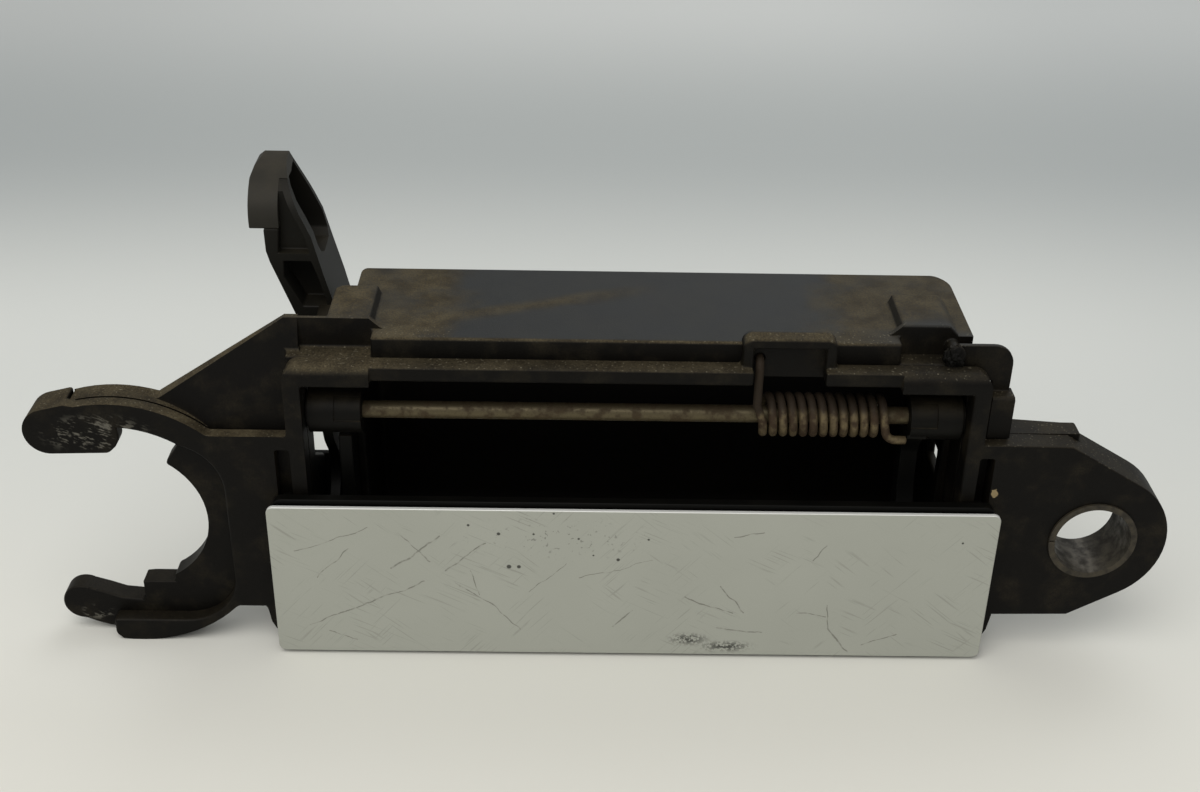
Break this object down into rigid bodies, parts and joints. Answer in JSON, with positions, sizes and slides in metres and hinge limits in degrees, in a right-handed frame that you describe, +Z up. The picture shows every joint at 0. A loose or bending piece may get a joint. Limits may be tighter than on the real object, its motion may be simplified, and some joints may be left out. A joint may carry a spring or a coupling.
{
  "type": "car door handle",
  "caption": "Exterior car door handle: a silver flap on a sprung hinge rod in a two-layer black housing with a finger recess, an open lock ring, a bolt bush and a latch lever",
  "frame": {"origin": "front end of the bolt bush, on the axis of its bore", "axes": "X runs along the handle from the lock ring to the bolt, Y points into the door, Z is up"},
  "size_m": [0.2281, 0.0465, 0.0941],
  "materials": {
    "moulding": "black glass-filled plastic with brown dust",
    "carrier_plastic": "black plastic, a little smoother",
    "silver_paint": "silver metallic paint, scratched",
    "bush_steel": "dull tan plated steel",
    "rusty_steel": "steel with light rust",
    "zinc_steel": "dull zinc plate",
    "nylon": "black nylon",
    "foam": "closed-cell foam"
  },
  "bodies": {
    "housing": {"front_frame": "moulding", "rear_housing": "moulding", "rod_retainer": "moulding", "bolt_bush": "bush_steel", "hinge_rod": "rusty_steel", "return_spring": "rusty_steel", "frame_screws": "zinc_steel"},
    "flap": {"flap_skin": "silver_paint", "skin_pad": "foam", "flap_carrier": "carrier_plastic", "skin_nuts": "zinc_steel", "barrel_bush_left": "nylon", "barrel_bush_right": "nylon", "rattle_pads": "foam", "latch_lever": "carrier_plastic", "lever_tip": "carrier_plastic", "lever_screw": "zinc_steel"}
  },
  "joints": [
    {"name": "flap_pull", "type": "hinge", "parent": "housing", "child": "flap", "pos_m": [-0.0934, 0.0075, 0.0248], "axis": [-1, 0, 0], "range_deg": [0, 38], "stiffness_Nm_per_rad": 0.15, "springref_deg": -45.84, "deforming": ["return_spring"]}
  ]
}
